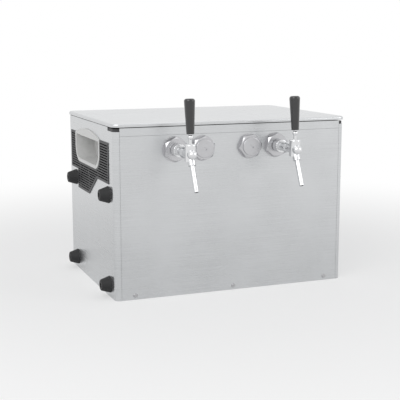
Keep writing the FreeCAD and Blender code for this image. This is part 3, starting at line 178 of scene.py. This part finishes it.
looks = {
    "wallSteel": {"colour": (0.60, 0.61, 0.62), "metallic": 1.0, "rough": 0.3, "roughSpread": 0.09,
                  "grain": (5, 5, 1500), "tone": 0.10, "relief": 0.12, "anisotropic": 0.4},
    "lidSteel": {"colour": (0.60, 0.61, 0.62), "metallic": 1.0, "rough": 0.3, "roughSpread": 0.09,
                 "grain": (5, 1500, 1500), "tone": 0.10, "relief": 0.12, "anisotropic": 0.4},
    "bathSteel": {"colour": (0.56, 0.57, 0.58), "metallic": 1.0, "rough": 0.36, "roughSpread": 0.08,
                  "grain": (260, 260, 260), "tone": 0.05, "relief": 0.06},
    "zincSheet": {"colour": (0.47, 0.49, 0.51), "metallic": 1.0, "rough": 0.42, "roughSpread": 0.12,
                  "grain": (70, 70, 70), "tone": 0.16, "relief": 0.1, "detail": 1.0},
    "screwSteel": {"colour": (0.5, 0.5, 0.51), "metallic": 1.0, "rough": 0.28, "grain": (500, 500, 500)},
    "turnedSteel": {"colour": (0.53, 0.53, 0.545), "metallic": 1.0, "rough": 0.24, "roughSpread": 0.07,
                    "grain": (30, 2200, 30), "tone": 0.08, "relief": 0.08},
    "tapChrome": {"colour": (0.72, 0.725, 0.735), "metallic": 1.0, "rough": 0.1, "roughSpread": 0.05,
                  "grain": (160, 160, 160), "tone": 0.03, "smudge": 40.0, "relief": 0.02},
    "finAluminium": {"colour": (0.62, 0.63, 0.64), "metallic": 1.0, "rough": 0.35, "grain": (60, 60, 900)},
    "copperPipe": {"colour": (0.6, 0.36, 0.25), "metallic": 1.0, "rough": 0.34, "roughSpread": 0.12,
                   "grain": (90, 90, 90), "tone": 0.22, "relief": 0.05},
    "blackMoulding": {"colour": (0.032, 0.032, 0.035), "rough": 0.5, "roughSpread": 0.08,
                      "grain": (1400, 1400, 1400), "tone": 0.2, "relief": 0.25, "detail": 2.0},
    "paleMoulding": {"colour": (0.70, 0.70, 0.69), "rough": 0.42, "roughSpread": 0.07,
                     "grain": (1100, 1100, 1100), "tone": 0.025, "relief": 0.2, "detail": 2.0},
    "cutFoam": {"colour": (0.72, 0.64, 0.42), "rough": 0.9, "roughSpread": 0.05, "specular": 0.2,
                "grain": (500, 500, 500), "tone": 0.12, "relief": 0.6, "reliefDepth": 0.001},
    "bufferRubber": {"colour": (0.024, 0.024, 0.025), "rough": 0.66, "roughSpread": 0.12,
                     "grain": (700, 700, 700), "tone": 0.3, "relief": 0.3, "specular": 0.4},
    "compressorEnamel": {"colour": (0.02, 0.02, 0.022), "rough": 0.3, "roughSpread": 0.08, "coat": 0.4,
                         "grain": (200, 200, 200), "tone": 0.2, "relief": 0.15},
    "motorPaint": {"colour": (0.2, 0.21, 0.22), "rough": 0.45, "grain": (300, 300, 300), "tone": 0.1},
    "fittingPlastic": {"colour": (0.8, 0.8, 0.77), "rough": 0.28, "grain": (600, 600, 600), "tone": 0.02,
                       "relief": 0.08, "coat": 0.2},
    "gripGloss": {"colour": (0.012, 0.012, 0.013), "rough": 0.2, "roughSpread": 0.07, "coat": 0.7,
                  "coatRough": 0.08, "grain": (240, 240, 240), "tone": 0.3, "smudge": 60.0, "relief": 0.04},
    "scaleInk": {"colour": (0.03, 0.03, 0.03), "rough": 0.55, "grain": (900, 900, 900), "tone": 0.2},
}
finishes = {name: makeFinish(name, look) for name, look in looks.items()}

finishOfSlot = {
    "brushed_stainless": "wallSteel",
    "inner_stainless": "bathSteel",
    "galvanised_steel": "zincSheet",
    "fastener_steel": "screwSteel",
    "satin_steel": "turnedSteel",
    "polished_chrome": "tapChrome",
    "aluminium_fins": "finAluminium",
    "copper": "copperPipe",
    "dark_plastic": "blackMoulding",
    "light_plastic": "paleMoulding",
    "foam": "cutFoam",
    "black_rubber": "bufferRubber",
    "black_enamel": "compressorEnamel",
    "motor_metal": "motorPaint",
    "white_fitting": "fittingPlastic",
    "handle_black": "gripGloss",
}
finishOfNode = {"lid_shell": "lidSteel"}
for part in frame["record"]["subparts"]:
    thing = nodes[part["node"]]
    finish = finishOfNode.get(part["node"], finishOfSlot.get(part["material_slot"], "screwSteel"))
    thing.data.materials.clear()
    thing.data.materials.append(finishes[finish])
print("finishes ready")


# sets one shape at every point, turned and stretched as the point says
def makeSpreadTree():
    tree = bpy.data.node_groups.new("spreadPieces", "GeometryNodeTree")
    tree.interface.new_socket(name="Places", in_out="INPUT", socket_type="NodeSocketGeometry")
    for name, kind in (("Shape", "NodeSocketObject"), ("Size", "NodeSocketFloat"),
                       ("Finish", "NodeSocketMaterial")):
        tree.interface.new_socket(name=name, in_out="INPUT", socket_type=kind)
    tree.interface.new_socket(name="Pieces", in_out="OUTPUT", socket_type="NodeSocketGeometry")
    link = tree.links.new
    start = tree.nodes.new("NodeGroupInput")
    end = tree.nodes.new("NodeGroupOutput")
    shape = tree.nodes.new("GeometryNodeObjectInfo")
    turn = tree.nodes.new("GeometryNodeInputNamedAttribute")
    turn.data_type = "FLOAT_VECTOR"
    turn.inputs["Name"].default_value = "turn"
    stretch = tree.nodes.new("GeometryNodeInputNamedAttribute")
    stretch.data_type = "FLOAT_VECTOR"
    stretch.inputs["Name"].default_value = "stretch"
    sized = tree.nodes.new("ShaderNodeVectorMath")
    sized.operation = "SCALE"
    spread = tree.nodes.new("GeometryNodeInstanceOnPoints")
    real = tree.nodes.new("GeometryNodeRealizeInstances")
    paint = tree.nodes.new("GeometryNodeSetMaterial")
    link(start.outputs["Places"], spread.inputs["Points"])
    link(start.outputs["Shape"], shape.inputs["Object"])
    link(shape.outputs["Geometry"], spread.inputs["Instance"])
    link(turn.outputs["Attribute"], spread.inputs["Rotation"])
    link(stretch.outputs["Attribute"], sized.inputs[0])
    link(start.outputs["Size"], sized.inputs["Scale"])
    link(sized.outputs["Vector"], spread.inputs["Scale"])
    link(spread.outputs["Instances"], real.inputs["Geometry"])
    link(real.outputs["Geometry"], paint.inputs["Geometry"])
    link(start.outputs["Finish"], paint.inputs["Material"])
    link(paint.outputs["Geometry"], end.inputs["Pieces"])
    return tree


spreadTree = makeSpreadTree()
spreadSocket = {item.name: item.identifier for item in spreadTree.interface.items_tree
                if item.in_out == "INPUT"}


# one mesh of many copies of a shape in millimetres, which rides on a body
def spreadPieces(name, shape, places, finish, body, turns=None, stretches=None):
    points = bpy.data.meshes.new(name)
    points.from_pydata([tuple(millimetre * c for c in p) for p in places], [], [])
    count = len(places)
    for key, values, plain in (("turn", turns, (0, 0, 0)), ("stretch", stretches, (1, 1, 1))):
        attribute = points.attributes.new(key, "FLOAT_VECTOR", "POINT")
        rows = np.array(values if values is not None else [plain] * count, np.float32)
        attribute.data.foreach_set("vector", rows.ravel())
    piece = bpy.data.objects.new(name, points)
    scene.collection.objects.link(piece)
    pattern = bpy.data.objects.new(name + "Pattern", shape)
    scene.collection.objects.link(pattern)
    modifier = piece.modifiers.new("spread", "NODES")
    modifier.node_group = spreadTree
    modifier[spreadSocket["Shape"]] = pattern
    modifier[spreadSocket["Size"]] = millimetre
    modifier[spreadSocket["Finish"]] = finishes[finish]
    bpy.context.view_layer.update()
    ready = piece.evaluated_get(bpy.context.evaluated_depsgraph_get())
    mesh = bpy.data.meshes.new_from_object(ready)
    piece.modifiers.remove(modifier)
    piece.data = mesh
    mesh.name = name
    for key in ("turn", "stretch"):
        if key in mesh.attributes:
            mesh.attributes.remove(mesh.attributes[key])
    bpy.data.objects.remove(pattern)
    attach(piece, body)


def shapeMesh(name, build):
    bm = bmesh.new()
    build(bm)
    bmesh.ops.remove_doubles(bm, verts=bm.verts, dist=mergeDistance)
    bmesh.ops.recalc_face_normals(bm, faces=bm.faces)
    mesh = bpy.data.meshes.new(name)
    bm.to_mesh(mesh)
    bm.free()
    return mesh


# closed solid of revolution about +Z from (radius, height) pairs
# corners is (sides, first ring): from that ring on, the rings are polygons
def turned(profile, steps, corners=None):
    def build(bm):
        rings = []
        for index, (radius, height) in enumerate(profile):
            ring = []
            for step in range(steps):
                angle = 2 * math.pi * step / steps
                reach = radius
                if corners and index >= corners[1]:
                    sector = 2 * math.pi / corners[0]
                    reach = radius * math.cos(sector / 2) / math.cos((angle % sector) - sector / 2)
                ring.append(bm.verts.new((reach * math.cos(angle), reach * math.sin(angle), height)))
            rings.append(ring)
        for low, high in zip(rings[:-1], rings[1:]):
            for step in range(steps):
                after = (step + 1) % steps
                bm.faces.new((low[step], low[after], high[after], high[step]))
        bm.faces.new(rings[0][::-1])
        bm.faces.new(rings[-1])
    return build


# pan head with a six-sided socket
screwHead = {"radius": 4.2, "rise": 2.4, "edge": 0.4, "socket": 1.7, "deep": 1.3, "steps": 24,
             "sides": 6, "dome": ((0.96, 0.35), (0.84, 0.7), (0.66, 0.92), (0.5, 1.0))}


def screwProfile():
    radius, rise, socket = screwHead["radius"], screwHead["rise"], screwHead["socket"]
    dome = [(out * radius, up * rise) for out, up in screwHead["dome"]]
    return [(radius, 0.0), (radius, screwHead["edge"])] + dome + [(socket, rise),
                                                                 (socket, rise - screwHead["deep"])]


socketRings = 2
headRings = screwProfile()
screwMesh = shapeMesh("screwHead", turned(headRings, screwHead["steps"],
                                          (screwHead["sides"], len(headRings) - socketRings)))
rearScrews = {"heights": (10.0, 352.0), "across": (-252.0, 0.0, 252.0), "sideHeight": 184.0,
              "sides": (-262.0, 262.0)}
rearScrewPlaces = [(x, rearFace, z) for z in rearScrews["heights"] for x in rearScrews["across"]]
rearScrewPlaces += [(x, rearFace, rearScrews["sideHeight"]) for x in rearScrews["sides"]]
facingBack = (-math.pi / 2, 0, 0)
spreadPieces("rear_panel_screws", screwMesh, rearScrewPlaces, "screwSteel", "cabinet",
             [facingBack] * len(rearScrewPlaces))

hingeScrews = {"middle": 190.0, "steps": (-15.0, 0.0, 15.0), "height": 379.0, "drop": 16.0, "rows": 2,
               "leaf": 1.5, "size": 0.72}
hingeScrewPlaces = []
for side in (-1, 1):
    for row in range(hingeScrews["rows"]):
        for step in hingeScrews["steps"]:
            hingeScrewPlaces.append((side * hingeScrews["middle"] + step, rearFace + hingeScrews["leaf"],
                                     hingeScrews["height"] - hingeScrews["drop"] * row))
spreadPieces("hinge_screws", screwMesh, hingeScrewPlaces, "screwSteel", "cabinet",
             [facingBack] * len(hingeScrewPlaces), [(hingeScrews["size"],) * 3] * len(hingeScrewPlaces))
print("screws ready")

# pressed hoods over the air slots at the rear
hood = {"length": 66.0, "height": 8.0, "proud": 4.2, "sheet": 0.9, "across": 28, "up": 8,
        "rows": 9, "columns": 2, "bottom": 150.0, "pitch": 12.0, "left": -245.0, "spacing": 70.0,
        "slot": 60.0, "drop": 0.5, "bow": 6, "rise": 0.8, "lap": 0.1}


def buildHood(bm):
    grid = []
    for skin in (0, 1):
        layer = []
        for j in range(hood["up"] + 1):
            v = j / hood["up"]
            row = []
            for i in range(hood["across"] + 1):
                u = i / hood["across"]
                taper = 1 - abs(2 * u - 1) ** hood["bow"]
                out = hood["proud"] * taper * math.sin(math.pi / 2 * v) ** hood["rise"]
                x = (u - 1 / 2) * (hood["length"] - 2 * skin * hood["sheet"] * v)
                row.append(bm.verts.new((x, max(out - skin * hood["sheet"], -hood["lap"]),
                                         hood["height"] * (1 - v) - skin * hood["sheet"] * (1 - v))))
            layer.append(row)
        grid.append(layer)
    for layer in grid:
        for low, high in zip(layer[:-1], layer[1:]):
            for i in range(hood["across"]):
                bm.faces.new((low[i], low[i + 1], high[i + 1], high[i]))
    for j in (0, hood["up"]):
        for i in range(hood["across"]):
            bm.faces.new((grid[0][j][i], grid[0][j][i + 1], grid[1][j][i + 1], grid[1][j][i]))
    for i in (0, hood["across"]):
        for j in range(hood["up"]):
            bm.faces.new((grid[0][j][i], grid[0][j + 1][i], grid[1][j + 1][i], grid[1][j][i]))


hoodMesh = shapeMesh("airHood", buildHood)
hoodPlaces = []
for row in range(hood["rows"]):
    for column in range(hood["columns"]):
        hoodPlaces.append((hood["left"] + hood["spacing"] * column + hood["slot"] / 2, rearFace,
                           hood["bottom"] + hood["pitch"] * row - hood["drop"]))
spreadPieces("rear_air_hoods", hoodMesh, hoodPlaces, "wallSteel", "cabinet")
print("rear hoods ready")

# slanted slats behind the side grille
slat = {"pitch": 6.0, "bar": 344.0, "rows": 22, "grilleBack": -283.5, "width": 7.5, "thick": 0.9,
        "tilt": 38.0, "lap": 0.3, "edge": 0.35,
        "front": -159.0, "back": 173.0, "low": 219.0, "shelf": 267.0, "cupFront": -102.0, "cupBack": 136.0,
        "cupLow": 281.0, "tongueBack": 109.0, "tongueTop": -62.0, "tongueFoot": 12.0}


def slatSpans(z):
    if z > slat["cupLow"]:
        return [(slat["front"], slat["cupFront"]), (slat["cupBack"], slat["back"])]
    if z > slat["shelf"]:
        return [(slat["front"], slat["back"])]
    share = (slat["shelf"] - z) / (slat["shelf"] - slat["low"])
    edge = slat["tongueTop"] + (slat["tongueFoot"] - slat["tongueTop"]) * share
    return [(edge, slat["tongueBack"])]


def buildSlat(bm):
    made = bmesh.ops.create_cube(bm, size=1.0)
    bmesh.ops.scale(bm, vec=(slat["width"], 1.0, slat["thick"]), verts=made["verts"])
    long = [e for e in bm.edges if abs(e.verts[0].co.y - e.verts[1].co.y) > 0.5]
    bmesh.ops.bevel(bm, geom=long, offset=slat["edge"], segments=2, affect="EDGES")


slatMesh = shapeMesh("grilleSlat", buildSlat)
slatPlaces, slatStretch = [], []
for row in range(slat["rows"]):
    z = slat["bar"] - slat["pitch"] * row
    for start, end in slatSpans(z) if z > slat["low"] else []:
        lean = math.radians(slat["tilt"])
        slatPlaces.append((slat["grilleBack"] - slat["lap"] + slat["width"] / 2 * math.cos(lean),
                           (start + end) / 2, z - slat["width"] / 2 * math.sin(lean)))
        slatStretch.append((1.0, end - start, 1.0))
spreadPieces("grille_slats", slatMesh, slatPlaces, "blackMoulding", "cabinet",
             [(0, math.radians(slat["tilt"]), 0)] * len(slatPlaces), slatStretch)
print("grille slats ready")

# scale marks round the thermostat's knob
marks = {"count": 11, "from": -135.0, "to": 135.0, "reach": 24.0, "long": 4.6, "wide": 1.1, "proud": 0.25,
         "centre": (-185.0, 300.0), "lift": 0.1, "edge": 0.4,
         "shortest": 0.5, "growth": 0.05}


def buildMark(bm):
    made = bmesh.ops.create_cube(bm, size=1.0)
    bmesh.ops.scale(bm, vec=(marks["wide"], marks["proud"], marks["long"]), verts=made["verts"])
    upright = [e for e in bm.edges if abs(e.verts[0].co.y - e.verts[1].co.y) > 0.5 * marks["proud"]]
    bmesh.ops.bevel(bm, geom=upright, offset=marks["edge"], segments=3, affect="EDGES")


markMesh = shapeMesh("scaleMark", buildMark)
markPlaces, markTurns, markStretch = [], [], []
for index in range(marks["count"]):
    share = index / (marks["count"] - 1)
    angle = math.radians(marks["from"] + (marks["to"] - marks["from"]) * share)
    markPlaces.append((marks["centre"][0] + marks["reach"] * math.sin(angle), rearFace + marks["lift"],
                       marks["centre"][1] + marks["reach"] * math.cos(angle)))
    markTurns.append((0, angle, 0))
    markStretch.append((1, 1, marks["shortest"] + marks["growth"] * index))
spreadPieces("thermostat_scale", markMesh, markPlaces, "scaleInk", "cabinet",
             markTurns, markStretch)
print("dial scale ready")


# only the pieces added here are smoothed, never the nodes of the construction
sharpFrom = 35
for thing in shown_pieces():
    if "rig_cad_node" not in thing:
        thing.data.shade_smooth()
        thing.data.set_sharp_from_angle(angle=math.radians(sharpFrom))


floorLook = {"colour": (0.9, 0.9, 0.9), "near": 0.45, "far": 1.7, "least": 0.45, "size": 9.0,
             "rough": 0.8, "drop": 0.0003}


# 1 for the rays that show the background itself, 0 for the rays that light the object
def seenDirectly(tree):
    link = tree.links.new
    rays = tree.nodes.new("ShaderNodeLightPath")
    first = tree.nodes.new("ShaderNodeMath")
    first.operation = "MAXIMUM"
    second = tree.nodes.new("ShaderNodeMath")
    second.operation = "MAXIMUM"
    link(rays.outputs["Is Camera Ray"], first.inputs[0])
    link(rays.outputs["Is Glossy Ray"], first.inputs[1])
    link(first.outputs["Value"], second.inputs[0])
    link(rays.outputs["Is Transmission Ray"], second.inputs[1])
    return second.outputs["Value"]


def makeFloor():
    mesh = bpy.data.meshes.new("studioFloor")
    s = floorLook["size"]
    mesh.from_pydata([(-s, -s, 0), (s, -s, 0), (s, s, 0), (-s, s, 0)], [], [(0, 1, 2, 3)])
    floor = bpy.data.objects.new("studioFloor", mesh)
    floor.location = (0, 0, -floorLook["drop"])
    scene.collection.objects.link(floor)
    material = bpy.data.materials.new("studioFloor")
    material.use_nodes = True
    tree = material.node_tree
    link = tree.links.new
    shader = tree.nodes["Principled BSDF"]
    shader.inputs["Base Color"].default_value = (*floorLook["colour"], 1)
    shader.inputs["Roughness"].default_value = floorLook["rough"]
    glow = addNode(tree, "ShaderNodeEmission", Color=(1, 1, 1, 1), Strength=1.0)
    place = tree.nodes.new("ShaderNodeTexCoord")
    length = tree.nodes.new("ShaderNodeVectorMath")
    length.operation = "LENGTH"
    fade = tree.nodes.new("ShaderNodeMapRange")
    fade.interpolation_type = "SMOOTHSTEP"
    fade.inputs["From Min"].default_value = floorLook["near"]
    fade.inputs["From Max"].default_value = floorLook["far"]
    fade.inputs["To Min"].default_value = floorLook["least"]
    share = tree.nodes.new("ShaderNodeMath")
    share.operation = "MULTIPLY"
    mix = tree.nodes.new("ShaderNodeMixShader")
    link(place.outputs["Object"], length.inputs[0])
    link(length.outputs["Value"], fade.inputs["Value"])
    link(fade.outputs["Result"], share.inputs[0])
    link(seenDirectly(tree), share.inputs[1])
    link(share.outputs["Value"], mix.inputs["Fac"])
    link(shader.outputs["BSDF"], mix.inputs[1])
    link(glow.outputs["Emission"], mix.inputs[2])
    link(mix.outputs["Shader"], tree.nodes["Material Output"].inputs["Surface"])
    mesh.materials.append(material)


worldLook = {"colour": (0.92, 0.93, 0.94, 1), "strength": 0.5}


def makeWorld():
    world = bpy.data.worlds.new("studioWorld")
    scene.world = world
    world.use_nodes = True
    tree = world.node_tree
    link = tree.links.new
    soft = tree.nodes["Background"]
    soft.inputs["Color"].default_value = worldLook["colour"]
    soft.inputs["Strength"].default_value = worldLook["strength"]
    white = addNode(tree, "ShaderNodeBackground", Color=(1, 1, 1, 1), Strength=1.0)
    mix = tree.nodes.new("ShaderNodeMixShader")
    link(seenDirectly(tree), mix.inputs["Fac"])
    link(soft.outputs["Background"], mix.inputs[1])
    link(white.outputs["Background"], mix.inputs[2])
    link(mix.outputs["Shader"], tree.nodes["World Output"].inputs["Surface"])


lamps = {
    "keyLamp": {"place": (-1.7, -1.5, 1.9), "size": (1.8, 1.8), "power": 21},
    "fillLamp": {"place": (1.9, -1.6, 1.2), "size": (1.3, 1.3), "power": 9},
    "topLamp": {"place": (0.1, 0.5, 2.3), "size": (2.4, 2.4), "power": 6},
}


lampTarget = (0, 0, 0.2)


def makeLamps():
    for name, lamp in lamps.items():
        data = bpy.data.lights.new(name, "AREA")
        data.shape = "RECTANGLE"
        data.size, data.size_y = lamp["size"]
        data.energy = lamp["power"]
        thing = bpy.data.objects.new(name, data)
        thing.location = lamp["place"]
        way = Vector(lampTarget) - Vector(lamp["place"])
        thing.rotation_euler = way.to_track_quat("-Z", "Y").to_euler()
        scene.collection.objects.link(thing)


makeFloor()
makeWorld()
makeLamps()
scene.view_settings.view_transform = "Standard"
print("studio ready")

bpy.context.view_layer.update()
